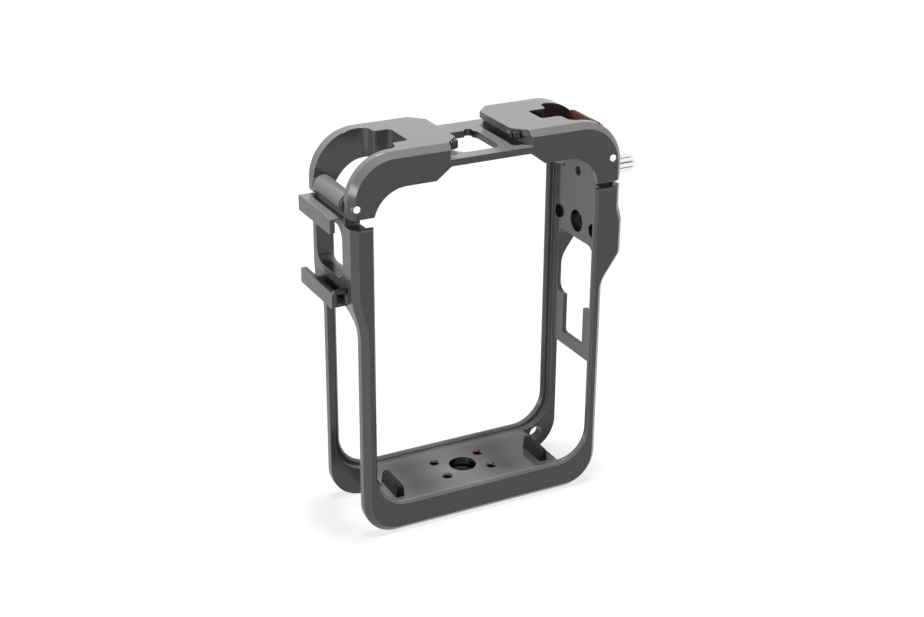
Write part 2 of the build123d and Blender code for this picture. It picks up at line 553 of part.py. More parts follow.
# ---- thumb screw: a knurled head, a neck and a threaded tip; washer under it --
with BuildPart() as thumb_screw:
    with BuildSketch(facing_right(HEAD_X)):
        with Locations((SCREW_Y, SCREW_Z)):
            Circle(SCREW_HEAD_R)
            with PolarLocations(SCREW_HEAD_R, KNURL_TEETH):
                Circle(KNURL_R, mode=Mode.SUBTRACT)
    extrude(amount=SCREW_END_X - HEAD_X)
    with BuildSketch(facing_right(SCREW_TIP_X)):
        with Locations((SCREW_Y, SCREW_Z)):
            Circle(SCREW_NECK_R)
    extrude(amount=HEAD_X - SCREW_TIP_X)
    with BuildSketch(facing_right(SCREW_TIP_X)):
        with Locations((SCREW_Y, SCREW_Z)):
            Circle(SCREW_R)
    extrude(amount=SCREW_THREAD)
    ends = thumb_screw.edges().filter_by(GeomType.CIRCLE).sort_by(Axis.X)
    chamfer(ends[0], PIN_BEVEL)
save(thumb_screw.part, "thumb_screw")

with BuildPart() as thumb_screw_washer:
    with BuildSketch(facing_right(HEAD_X - SIDE_PLAY)):
        with Locations((SCREW_Y, SCREW_Z)):
            Circle(SCREW_WASHER_R)
            Circle(SCREW_NECK_R + RUNNING_FIT, mode=Mode.SUBTRACT)
    extrude(amount=-SCREW_WASHER)
save(thumb_screw_washer.part, "thumb_screw_washer")

# ---- steel thread insert pressed into the floor from below --------------------
with BuildPart() as floor_insert:
    with BuildSketch(Plane.XY.offset(INSERT_SETBACK)):
        Circle(INSERT_R)
        Circle(TRIPOD_R, mode=Mode.SUBTRACT)
    extrude(amount=INSERT_DEPTH - INSERT_SETBACK)
save(floor_insert.part, "thread_insert_floor")

# ---- ribbed rubber pads seated in grooves of the floor -------------------------
for x, label in ((PAD_LEFT_X, "pad_left"), (PAD_RIGHT_X, "pad_right")):
    with BuildPart() as pad:
        foot_z = BAY_FLOOR_Z - PAD_SEAT
        box_between((x - PAD_WIDTH / 2, x + PAD_WIDTH / 2),
                    (PAD_FRONT_Y, PAD_FRONT_Y + PAD_LENGTH), (foot_z, foot_z + PAD_SEAT + PAD_HEIGHT))
        top = pad.faces().sort_by(Axis.Z)[-1]
        fillet(top.edges().filter_by(Axis.Y), PAD_WIDTH * 0.3)
        pitch = PAD_HEIGHT / PAD_RIBS
        for row in range(PAD_RIBS):
            z = BAY_FLOOR_Z + (row + 0.4) * pitch
            for side in (-1, 1):
                wall_x = x + side * PAD_WIDTH / 2
                with BuildSketch(facing_front(PAD_FRONT_Y + PAD_LENGTH), mode=Mode.PRIVATE) as line:
                    with Locations((wall_x, z)):
                        Rectangle(PAD_LINE, PAD_LINE, rotation=45)
                extrude(line.sketch, amount=PAD_LENGTH, mode=Mode.SUBTRACT)
    save(pad.part, label)

# ---- round stops at the front ends of the shoes --------------------------------
for (x, y), label in zip(TOP_STOPS, ("shoe_stop_top_left", "shoe_stop_top_right")):
    with BuildPart() as stop:
        with BuildSketch(Plane.XY.offset(STOP_Z[0])):
            with Locations((x, y)):
                Circle(STOP_R)
        extrude(amount=STOP_LENGTH)
        chamfer(stop.edges().filter_by(GeomType.CIRCLE).sort_by(Axis.Z)[0], PIN_BEVEL)
    save(stop.part, label)

with BuildPart() as side_stop:
    with BuildSketch(facing_right(SIDE_SHOE_FACE_X + STOP_SETBACK)):
        with Locations((SIDE_STOP_Y, SIDE_STOP_Z)):
            Circle(SIDE_STOP_R)
    extrude(amount=SHOE_SLOT + SIDE_RAIL + STOP_SEAT - STOP_SETBACK)
save(side_stop.part, "shoe_stop_side")
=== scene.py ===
"""Looks of a hinged aluminium camera cage: finishes, cut threads, fluted screw, pads and studio.

Sizes in the classes are millimetres in the cage's own frame: +X right, +Y to the back, +Z up.
Blender's meshes are metres, so each mesh is scaled once, where it is made.
"""

import logging
import math
from dataclasses import dataclass
from enum import Enum
from typing import Any, Sequence

import bmesh
import bpy
import numpy as np
from mathutils import Matrix, Vector


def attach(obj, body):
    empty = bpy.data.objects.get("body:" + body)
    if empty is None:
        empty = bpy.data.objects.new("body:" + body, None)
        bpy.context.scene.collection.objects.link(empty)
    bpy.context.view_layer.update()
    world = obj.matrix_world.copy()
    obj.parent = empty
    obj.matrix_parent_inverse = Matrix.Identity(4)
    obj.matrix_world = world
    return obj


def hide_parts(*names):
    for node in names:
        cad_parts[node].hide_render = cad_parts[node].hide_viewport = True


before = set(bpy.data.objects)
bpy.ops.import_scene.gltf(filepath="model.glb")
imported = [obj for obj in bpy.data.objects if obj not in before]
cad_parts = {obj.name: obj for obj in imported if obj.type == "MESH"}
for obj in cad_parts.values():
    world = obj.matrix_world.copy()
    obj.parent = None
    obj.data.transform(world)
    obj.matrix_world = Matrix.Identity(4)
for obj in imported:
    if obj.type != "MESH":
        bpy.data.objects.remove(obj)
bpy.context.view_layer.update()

MM = 0.001                             # one millimetre in metres
WELD_M = 1e-8                          # points closer than this are one point, in metres
FULL_TURN = 2 * math.pi
HOLLOW = "hollow"                      # mesh attribute: 0 on crests, 1 at the bottom of grooves; finishes paint shade and highlight by it
log = logging.getLogger("camera_cage")

Point = tuple[float, float, float]
Colour = tuple[float, float, float]
Span = tuple[float, float]


class Axis(Enum):
    """The direction in which a turned piece's profile runs."""

    X = 0
    Y = 1
    Z = 2


class Slot(Enum):
    """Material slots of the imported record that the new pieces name."""

    CAGE = "cage_aluminium"
    STEEL = "steel"
    SCREW = "screw_steel"
    DARK = "dark_steel"
    WASHER = "washer_black"
    RUBBER = "rubber"


class Body(Enum):
    """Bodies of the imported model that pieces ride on."""

    FRAME = "frame"
    LID = "lid"
    CARRIER = "screw_carrier"
    SCREW = "screw"


# ---- node trees ----


@dataclass(frozen=True)
class Ramp:
    """How one value is carried to another: start..end becomes low..high, clamped."""

    low: float
    high: float
    start: float = 0.0
    end: float = 1.0


class Shader:
    """The node tree of a material or of the surroundings while it is being built."""

    def __init__(self, owner: bpy.types.Material | bpy.types.World,
                 ending: str = "OutputMaterial") -> None:
        """Start an empty tree that ends in an output node.

        Args:
            owner: the material or the surroundings that the tree belongs to.
            ending: the output node's class name without the leading "ShaderNode".
        """
        owner.use_nodes = True
        self.owner = owner
        self.tree = owner.node_tree
        self.tree.nodes.clear()
        self.output = self.add(ending)

    def add(self, kind: str, inputs: dict[Any, Any] | None = None,
            **settings: Any) -> bpy.types.Node:
        """Add a node, set its options and fill its inputs.

        Args:
            kind: the node's class name without the leading "ShaderNode".
            inputs: value or output socket for each input, by name or number.
            settings: the node's own options.
        Returns:
            The new node.
        """
        node = self.tree.nodes.new("ShaderNode" + kind)
        for option, value in settings.items():
            setattr(node, option, value)
        for key, value in (inputs or {}).items():
            if isinstance(value, bpy.types.NodeSocket):
                self.tree.links.new(value, node.inputs[key])
            else:
                node.inputs[key].default_value = value
        return node

    def noise(self, grain_mm: float, detail: float = 2.0) -> bpy.types.NodeSocket:
        """Smooth noise in the piece's own coordinates.

        Args:
            grain_mm: size of one grain.
            detail: octaves of finer noise.
        Returns:
            The noise value, about 0.5 on average.
        """
        place = self.add("TexCoord").outputs["Object"]
        settings = {"Vector": place, "Scale": 1 / (grain_mm * MM), "Detail": detail}
        return self.add("TexNoise", settings).outputs[0]

    def hollow(self) -> bpy.types.NodeSocket:
        """How deep in a groove the surface lies, from the mesh's own attribute."""
        return self.add("Attribute", attribute_name=HOLLOW).outputs["Fac"]

    def spread(self, value: bpy.types.NodeSocket, ramp: Ramp) -> bpy.types.NodeSocket:
        """Carry a value over by a ramp.

        Args:
            value: the value to carry over.
            ramp: its limits before and after.
        Returns:
            The new value.
        """
        return self.add("MapRange", {
            "Value": value, "From Min": ramp.start, "From Max": ramp.end,
            "To Min": ramp.low, "To Max": ramp.high}).outputs["Result"]

    def times(self, first: bpy.types.NodeSocket,
              second: bpy.types.NodeSocket) -> bpy.types.NodeSocket:
        """The product of two values."""
        return self.add("Math", {0: first, 1: second}, operation="MULTIPLY").outputs[0]

    def larger(self, first: bpy.types.NodeSocket,
               second: bpy.types.NodeSocket) -> bpy.types.NodeSocket:
        """The larger of two values."""
        return self.add("Math", {0: first, 1: second}, operation="MAXIMUM").outputs[0]

    def blend(self, share: bpy.types.NodeSocket, first: Colour | bpy.types.NodeSocket,
              second: Colour) -> bpy.types.NodeSocket:
        """Mix two colours. The node's colours are its inputs 6 and 7 and its output 2.

        Args:
            share: 0 for the first colour, 1 for the second.
            first: red, green and blue, or a colour that is already mixed.
            second: red, green and blue.
        Returns:
            The mixed colour.
        """
        base = first if isinstance(first, bpy.types.NodeSocket) else (*first, 1.0)
        colours = {0: share, 6: base, 7: (*second, 1.0)}
        return self.add("Mix", colours, data_type="RGBA").outputs[2]

    def seen(self) -> bpy.types.NodeSocket:
        """1 for the camera and in reflections, 0 as light on the object."""
        path = self.add("LightPath").outputs
        mirrored = self.larger(path["Is Glossy Ray"], path["Is Transmission Ray"])
        return self.larger(path["Is Camera Ray"], mirrored)

    def finish(self, surface: bpy.types.NodeSocket) -> bpy.types.ID:
        """Connect the surface and hand over the tree's owner."""
        self.tree.links.new(surface, self.output.inputs["Surface"])
        return self.owner


@dataclass(frozen=True)
class MetalFinish:
    """A metal surface: blasted grain, cloudy gloss, and rounded edges painted lighter as a
    painted highlight.

    Where the mesh's hollow attribute rises to one, the finish takes its shade-and-rim colour:
    painted shade at the bottom of threads and flutes and on the screw's dished face, and a dark
    rim on the ends of pins.
    """

    name: str
    colour: Colour
    edge_highlight_colour: Colour
    metallic: float
    roughness: float
    cloud: float = 0.04                # how far roughness drifts to each side
    edge_mm: float = 0.14              # width of the rounding along the edges
    # painted shade in grooves, threads and the screw's dished face, and the dark rim of pin ends
    shade_and_rim_colour: Colour | None = None
    gleam: float = 0.5
    edge_highlight: float = 0.35                 # share of painted highlight colour on a sharp edge
    edge_samples: int = 6
    edge_reach: Span = (0.80, 0.985)   # fully an edge, and no edge any more
    edge_patches: Ramp = Ramp(0.3, 1.0, 0.35, 0.6)  # clouds break the painted highlight up
    cloud_mm: float = 4.5
    cloud_detail: float = 3.0
    cloud_reach: Span = (0.3, 0.7)
    grain_mm: float = 0.22
    grain_depth_mm: float = 0.0012
    grain_strength: float = 0.35

    def material(self) -> bpy.types.Material:
        """Build the finish.

        The edge mask falls with the dot product of the rounded and the true normal; edges get a
        painted highlight.

        Returns:
            The finished material.
        """
        shader = Shader(bpy.data.materials.new(self.name))
        rounded = shader.add("Bevel", {"Radius": self.edge_mm * MM},
                             samples=self.edge_samples).outputs[0]
        true = shader.add("NewGeometry").outputs["Normal"]
        facing = shader.add("VectorMath", {0: rounded, 1: true},
                            operation="DOT_PRODUCT").outputs["Value"]
        edge = shader.spread(facing, Ramp(self.edge_highlight, 0.0, *self.edge_reach))
        clouds = shader.noise(self.cloud_mm, self.cloud_detail)
        # painted highlight: sharp edges take the lighter colour, broken up by the clouds
        highlight_share = shader.times(edge, shader.spread(clouds, self.edge_patches))
        colour = shader.blend(highlight_share, self.colour, self.edge_highlight_colour)
        # painted shade where the hollow attribute rises, and the dark rim on pin ends
        if self.shade_and_rim_colour:
            colour = shader.blend(shader.hollow(), colour, self.shade_and_rim_colour)
        gloss = shader.spread(clouds, Ramp(self.roughness - self.cloud,
                                           self.roughness + self.cloud, *self.cloud_reach))
        bump = shader.add("Bump", {
            "Strength": self.grain_strength, "Distance": self.grain_depth_mm * MM,
            "Height": shader.noise(self.grain_mm), "Normal": rounded}).outputs[0]
        surface = shader.add("BsdfPrincipled", {
            "Base Color": colour, "Metallic": self.metallic, "Roughness": gloss,
            "Normal": bump, "Specular IOR Level": self.gleam})
        return shader.finish(surface.outputs[0])


@dataclass(frozen=True)
class RubberFinish:
    """Matt black rubber with a fine moulded grain, paler on its ridges as a painted highlight.
    """

    name: str
    colour: Colour = (0.004, 0.004, 0.0045)
    ridge_highlight_colour: Colour = (0.055, 0.055, 0.054)
    gleam: float = 0.25
    gloss: Ramp = Ramp(0.47, 0.65, 0.3, 0.7)  # roughness over the speckle
    ridge: Ramp = Ramp(1.0, 0.0, 0.0, 0.45)  # painted highlight share over the hollow attribute
    speckle_mm: float = 0.35
    speckle_detail: float = 4.0
    speckle_patches: Ramp = Ramp(0.45, 1.0, 0.35, 0.65)
    grain_mm: float = 0.12
    grain_depth_mm: float = 0.006
    grain_strength: float = 0.5

    def material(self) -> bpy.types.Material:
        """Build the finish.

        The ridges turn pale as the hollow attribute falls to zero, a painted highlight broken up
        by the speckle.

        Returns:
            The finished material.
        """
        shader = Shader(bpy.data.materials.new(self.name))
        speckle = shader.noise(self.speckle_mm, self.speckle_detail)
        ridge_highlight_share = shader.times(shader.spread(shader.hollow(), self.ridge),
                              shader.spread(speckle, self.speckle_patches))
        bump = shader.add("Bump", {
            "Strength": self.grain_strength, "Distance": self.grain_depth_mm * MM,
            "Height": shader.noise(self.grain_mm)}).outputs[0]
        surface = shader.add("BsdfPrincipled", {
            "Base Color": shader.blend(ridge_highlight_share, self.colour, self.ridge_highlight_colour),
            "Roughness": shader.spread(speckle, self.gloss),
            "Normal": bump, "Specular IOR Level": self.gleam})
        return shader.finish(surface.outputs[0])


CAGE_FINISH = MetalFinish(
    "grey_anodised", (0.142, 0.142, 0.144), (0.66, 0.66, 0.665), metallic=0.0, roughness=0.19,
    cloud=0.03, edge_mm=0.20, gleam=0.45, edge_highlight=0.75)
# deep red darkened to the shade the lever sits in: its own colour and painted shade; the pale
# pink edges are a painted highlight
LATCH_FINISH = MetalFinish(
    "red_anodised", (0.036, 0.0012, 0.0025), (0.80, 0.34, 0.36), metallic=0.3, roughness=0.33,
    edge_mm=0.22, gleam=0.3, edge_highlight=0.8)
STEEL_FINISH = MetalFinish(
    "polished_steel", (0.90, 0.90, 0.91), (0.95, 0.95, 0.95), metallic=1.0, roughness=0.20,
    cloud=0.03, edge_mm=0.05, shade_and_rim_colour=(0.075, 0.075, 0.077), edge_highlight=0.0)
SCREW_FINISH = MetalFinish(
    "bright_steel", (0.86, 0.86, 0.87), (0.94, 0.94, 0.94), metallic=1.0, roughness=0.18,
    cloud=0.03, edge_mm=0.03, shade_and_rim_colour=(0.10, 0.10, 0.11))
# black stops, and painted shade down the floor's hole
DARK_FINISH = MetalFinish(
    "black_steel_and_painted_shade", (0.045, 0.043, 0.042), (0.36, 0.35, 0.34), metallic=0.8, roughness=0.14,
    cloud=0.03, edge_mm=0.06, shade_and_rim_colour=(0.010, 0.010, 0.010), gleam=0.3)
# near-black brown: painted shade inside the deep small holes, over a brown tint
TAPPED_FINISH = MetalFinish(
    "cut_thread_painted_shade", (0.022, 0.011, 0.006), (0.08, 0.045, 0.025), metallic=1.0, roughness=0.32,
    edge_mm=0.04, shade_and_rim_colour=(0.008, 0.004, 0.003))
BARE_FINISH = MetalFinish(
    "bare_sink", (0.15, 0.11, 0.088), (0.30, 0.24, 0.20), metallic=1.0, roughness=0.14,
    cloud=0.03, edge_mm=0.05)
# near-black liners: painted shade inside the bores of the right wall
BORE_SHADE_FINISH = MetalFinish(
    "bore_painted_shade", (0.026, 0.026, 0.027), (0.12, 0.12, 0.12), metallic=0.0, roughness=0.33,
    edge_mm=0.05, shade_and_rim_colour=(0.006, 0.006, 0.006), gleam=0.25)
WASHER_FINISH = MetalFinish(
    "black_polymer", (0.018, 0.018, 0.018), (0.04, 0.04, 0.04), metallic=0.0, roughness=0.42,
    cloud=0.05, edge_mm=0.06)
RUBBER_FINISH = RubberFinish("ribbed_rubber")


# ---- surfaces ----


def grid_quads(rows: int, columns: int, wrap_rows: bool) -> np.ndarray:
    """Faces of a grid of points whose rows each close on themselves.

    Args:
        rows: number of rows of points.
        columns: number of points in each row; the last joins the first.
        wrap_rows: whether the last row joins the first as well.
    Returns:
        One row of four point numbers for each face.
    """
    row = np.arange(rows if wrap_rows else rows - 1)[:, None]
    column = np.arange(columns)[None, :]
    above = (row + 1) % rows
    beside = (column + 1) % columns
    corners = (row * columns + column, row * columns + beside,
               above * columns + beside, above * columns + column)
    shape = (len(row), columns)
    return np.stack([np.broadcast_to(c, shape) for c in corners], axis=-1).reshape(-1, 4)


def end_fans(rows: int, columns: int) -> np.ndarray:
    """Faces that close a grid's two open ends, each a fan about a point after the grid's own.

    Args:
        rows: number of rows of points.
        columns: number of points in each row.
    Returns:
        One row of three point numbers for each face.
    """
    ring = np.arange(columns)
    onward = (ring + 1) % columns
    last_row = (rows - 1) * columns
    middle = np.full(columns, rows * columns)
    return np.concatenate([np.stack([onward, ring, middle], axis=1),
                           np.stack([last_row + ring, last_row + onward, middle + 1], axis=1)])


def new_object(name: str, data: bpy.types.ID) -> bpy.types.Object:
    """Put a mesh, lamp or camera into the scene as an object."""
    placed = bpy.data.objects.new(name, data)
    bpy.context.scene.collection.objects.link(placed)
    return placed


def make_piece(name: str, grid: np.ndarray, material: bpy.types.Material,
               wrap_rows: bool = False, crease_deg: float = 35.0,
               hollow: np.ndarray | None = None) -> bpy.types.Object:
    """Put a closed grid of points into Blender; open ends are closed by fans.

    Args:
        name: the piece's name.
        grid: points in millimetres, shaped rows by columns by three.
        material: the piece's material.
        wrap_rows: whether the rows close on themselves, as round a ring.
        crease_deg: edges sharper than this keep a crisp line.
        hollow: how deep in a groove each point lies, 0 to 1, for each row or each point.
    Returns:
        The new object, with its place in its mesh.
    """
    rows, columns = grid.shape[:2]
    points = grid.reshape(-1, 3)
    faces = grid_quads(rows, columns, wrap_rows).tolist()
    if not wrap_rows:
        points = np.concatenate([points, grid[[0, -1]].mean(axis=1)])
        faces += end_fans(rows, columns).tolist()
    mesh = bpy.data.meshes.new(name)
    mesh.from_pydata((points * MM).tolist(), [], faces)
    if hollow is not None:
        depth = np.zeros(len(points), dtype=np.float32)
        depth[:rows * columns] = np.broadcast_to(hollow, (rows, columns)).ravel()
        mesh.attributes.new(HOLLOW, "FLOAT", "POINT").data.foreach_set("value", depth)
    shell = bmesh.new()
    shell.from_mesh(mesh)
    bmesh.ops.remove_doubles(shell, verts=shell.verts, dist=WELD_M)
    bmesh.ops.recalc_face_normals(shell, faces=shell.faces)
    shell.to_mesh(mesh)
    shell.free()
    mesh.polygons.foreach_set("use_smooth", np.ones(len(mesh.polygons), dtype=bool))
    mesh.set_sharp_from_angle(angle=math.radians(crease_deg))
    mesh.materials.append(material)
    return new_object(name, mesh)


def eased_profile(corners: Sequence[Point] | np.ndarray, steps: int = 5) -> np.ndarray:
    """A polyline whose corners are rounded.

    Each corner becomes a quadratic curve from one side to the other, tangent to both,
    that leaves the sides at the corner's own rounding distance. A corner with no rounding
    stays one point, and so do both ends.

    Args:
        corners: distance along the axis, radius, and rounding of each corner.
        steps: points on each rounded corner.
    Returns:
        Points of the profile as rows of distance and radius.
    """
    table = np.array(corners, dtype=float)
    points, easing = table[:, :2], table[1:-1, 2:]
    here = points[1:-1]
    before, after = points[:-2] - here, points[2:] - here
    start = here + before / np.linalg.norm(before, axis=1, keepdims=True) * easing
    end = here + after / np.linalg.norm(after, axis=1, keepdims=True) * easing
    share = np.linspace(0, 1, steps)[:, None]
    curves = ((1 - share) ** 2 * start[:, None] + 2 * share * (1 - share) * here[:, None]
              + share ** 2 * end[:, None])
    kept = (easing > 0) | (np.arange(steps) == 0)
    return np.concatenate([points[:1], curves[kept], points[-1:]])


def zigzag(phase: np.ndarray) -> np.ndarray:
    """Triangle wave: 0 at whole phases, 1 halfway between them."""
    return 1 - np.abs(2 * (phase % 1.0) - 1)


def half_cosine(place: np.ndarray) -> np.ndarray:
    """One smooth hump: 1 at place 0, down a cosine to 0 at -1 and 1."""
    return 0.5 + 0.5 * np.cos(math.pi * place)


def around(columns: int) -> np.ndarray:
    """Equal angles once round, as one row."""
    return np.linspace(0, FULL_TURN, columns, endpoint=False)[None, :]


def turned(distance: np.ndarray, radius: np.ndarray | float, angle: np.ndarray, axis: Axis,
           centre: Point) -> np.ndarray:
    """Points of a turned surface: out from an axis by a radius, at an angle about it.

    Args:
        distance: place along the axis, from the centre.
        radius: distance from the axis.
        angle: angle about the axis, in radians.
        axis: the axis's direction.
        centre: a point on the axis.
    Returns:
        Points shaped as the inputs broadcast, by three.
    """
    distance, radius, angle = np.broadcast_arrays(distance, radius, angle)
    across, up = radius * np.cos(angle), radius * np.sin(angle)
    order = {Axis.X: (distance, across, up), Axis.Y: (up, distance, across),
             Axis.Z: (across, up, distance)}
    return np.stack(order[axis], axis=-1) + np.array(centre)


def lathed(profile: np.ndarray, columns: int, axis: Axis, centre: Point) -> np.ndarray:
    """Carry a profile, rows of distance and radius, once round an axis."""
    return turned(profile[:, :1], profile[:, 1:], around(columns), axis, centre)


# ---- turned pieces ----


@dataclass
class Pin:
    """A turned pin with eased ends, a faint crown and a centre mark from the lathe.

    With a dyed rim, the outer ring of each end face takes the finish's shade-and-rim colour.
    """

    name: str
    node: str
    body: Body
    axis: Axis
    centre: Point
    span: Span
    radius: float
    finish: MetalFinish = STEEL_FINISH
    slot: Slot = Slot.STEEL
    ease: float = 0.22
    crown: float = 0.08
    dyed_rim: bool = True
    bright_share: float = 0.76         # the end face's bright part, as a share of the radius
    mark_share: float = 0.16           # the centre mark, as a share of the radius
    mark_ease: float = 0.03
    mark_sink: float = 0.5             # share of the crown, as the next two are
    face_fall: float = 0.6
    rim_fall: float = 0.65
    rim_step: float = 0.03             # over which the bright face turns into the rim
    corner_in: float = 0.4             # share of the ease, as the next two are
    corner_round: float = 0.5
    end_reach: float = 1.2
    columns: int = 48

    def end_profile(self) -> np.ndarray:
        """One end of the pin, from its sunk centre mark out to its shank.

        The end bulges by the crown, so the face falls outwards from the mark's edge, by all of
        the crown at the eased corner.

        Returns:
            Rows of distance in from the end, radius and rounding.
        """
        face = self.bright_share * self.radius
        bend = self.ease * self.corner_round
        return np.array([
            (self.crown * self.mark_sink, 0.0, 0.0),
            (0.0, self.mark_share * self.radius, self.mark_ease),
            (self.crown * self.face_fall, face, 0.0),
            (self.crown * self.rim_fall, face + self.rim_step, 0.0),
            (self.crown, self.radius - self.ease * self.corner_in, bend),
            (self.crown + self.ease, self.radius, bend),
        ])

    def rim(self, profile: np.ndarray) -> np.ndarray:
        """How far each row of the profile lies in the dyed rim of an end face, 0 to 1.

        Args:
            profile: rows of distance and radius.
        Returns:
            The radius beyond the bright face over the rim's step, kept to the two ends.
        """
        start, end = self.span
        from_end = np.minimum(profile[:, :1] - start, end - profile[:, :1])
        at_end = from_end < self.crown + self.ease * self.end_reach
        beyond = (profile[:, 1:] - self.bright_share * self.radius) / self.rim_step
        return np.clip(beyond, 0, 1) * at_end

    def build(self) -> bpy.types.Object:
        """Turn the pin from one end's profile and its mirror image.

        Returns:
            The pin, in place of its node.
        """
        half = self.end_profile()
        start, end = self.span
        first = half + (start, 0, 0)
        last = (half * (-1, 1, 1) + (end, 0, 0))[::-1]
        profile = eased_profile(np.concatenate([first, last]))
        grid = lathed(profile, self.columns, self.axis, self.centre)
        piece = make_piece(self.name, grid, self.finish.material(),
                           hollow=self.rim(profile) if self.dyed_rim else None)
        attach(piece, self.body.value)
        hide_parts(self.node)
        return piece


@dataclass
class Washer:
    """A flat polymer washer with eased rims."""

    name: str
    node: str
    body: Body
    axis: Axis
    centre: Point
    thickness: float
    outer: float
    inner: float
    ease: float = 0.12
    seam: float = 0.001                # between the profile's last point and its first
    columns: int = 64

    def build(self) -> bpy.types.Object:
        """Carry the eased rectangle of the wall once round the axis.

        Returns:
            The washer, in place of its node.
        """
        half = self.thickness / 2
        wall = eased_profile([
            (0, self.inner, 0), (half, self.inner, self.ease), (half, self.outer, self.ease),
            (-half, self.outer, self.ease), (-half, self.inner, self.ease),
            (-self.seam, self.inner, 0),
        ])
        grid = lathed(wall, self.columns, self.axis, self.centre)
        piece = make_piece(self.name, grid, WASHER_FINISH.material(), wrap_rows=True)
        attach(piece, self.body.value)
        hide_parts(self.node)
        return piece


@dataclass(frozen=True)
class Thread:
    """The form of a cut thread, and of the sleeve that carries it."""

    outer: float                       # the sleeve's outer radius
    root: float                        # radius at the bottom of the grooves
    crest: float                       # radius of the crests
    pitch: float
    rows_per_turn: int = 10


@dataclass
class TappedHole:
    """The cut thread inside a hole, as a sleeve whose inner wall carries the turns."""

    name: str
    axis: Axis
    centre: Point
    span: Span
    thread: Thread
    finish: MetalFinish
    slot: Slot
    node: str = ""
    columns: int = 72
    fewest_rows: int = 8
    back_rows: int = 4
    fade_turns: float = 0.8            # over which the turns fade out at each end
    flank: float = 1.25                # above 1, the crests get a narrow flat
    crease_deg: float = 50.0

    def build(self) -> bpy.types.Object:
        """Make the sleeve.

        The inner radius runs from root to crest and back once per pitch along the hole, its
        phase shifted by the angle, so that the turns climb as a helix. Near each end the turns
        fade to the root, as a chamfered thread does.

        Returns:
            The sleeve, riding on the frame.
        """
        start, end = self.span
        cut = self.thread
        depth = cut.root - cut.crest
        rows = max(int((end - start) / cut.pitch * cut.rows_per_turn), self.fewest_rows)
        along = np.linspace(start, end, rows)[:, None]
        angle = around(self.columns)
        turns = np.clip(zigzag(along / cut.pitch - angle / FULL_TURN) * self.flank, 0, 1)
        near_end = np.minimum(along - start, end - along)
        fade = np.clip(near_end / (cut.pitch * self.fade_turns), 0, 1)
        inner = cut.root - depth * fade * turns
        back = np.linspace(end, start, self.back_rows)[:, None]
        grid = np.concatenate([
            turned(along, inner, angle, self.axis, self.centre),
            turned(back, cut.outer, angle, self.axis, self.centre),
        ])
        # painted shade: the thread's roots take the finish's darker colour; the hidden back rows
        # fully
        sunk = np.concatenate([(inner - cut.crest) / depth,
                               np.ones((self.back_rows, self.columns))])
        piece = make_piece(self.name, grid, self.finish.material(), wrap_rows=True,
                           crease_deg=self.crease_deg, hollow=sunk)
        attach(piece, Body.FRAME.value)
        if self.node:
            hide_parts(self.node)
        return piece


@dataclass
class SinkRing:
    """The bare cone that a countersink leaves round the mouth of a small hole."""

    name: str
    centre: Point
    top_z: float
    inner: float
    outer: float
    skin: float = 0.03
    below_top: float = 0.005           # keeps the ring under the floor's own face
    crease_deg: float = 30.0
    columns: int = 40

    def build(self) -> bpy.types.Object:
        """Carry a thin slanted strip once round the hole's axis; it falls at 45 degrees.

        Returns:
            The cone, riding on the frame.
        """
        low = self.top_z - (self.outer - self.inner)
        high = self.top_z - self.below_top
        strip = np.array([(low, self.inner - self.skin), (high, self.outer - self.skin),
                          (high, self.outer), (low, self.inner + self.skin)])
        grid = lathed(strip, self.columns, Axis.Z, self.centre)
        piece = make_piece(self.name, grid, BARE_FINISH.material(), wrap_rows=True,
                           crease_deg=self.crease_deg)
        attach(piece, Body.FRAME.value)
        return piece


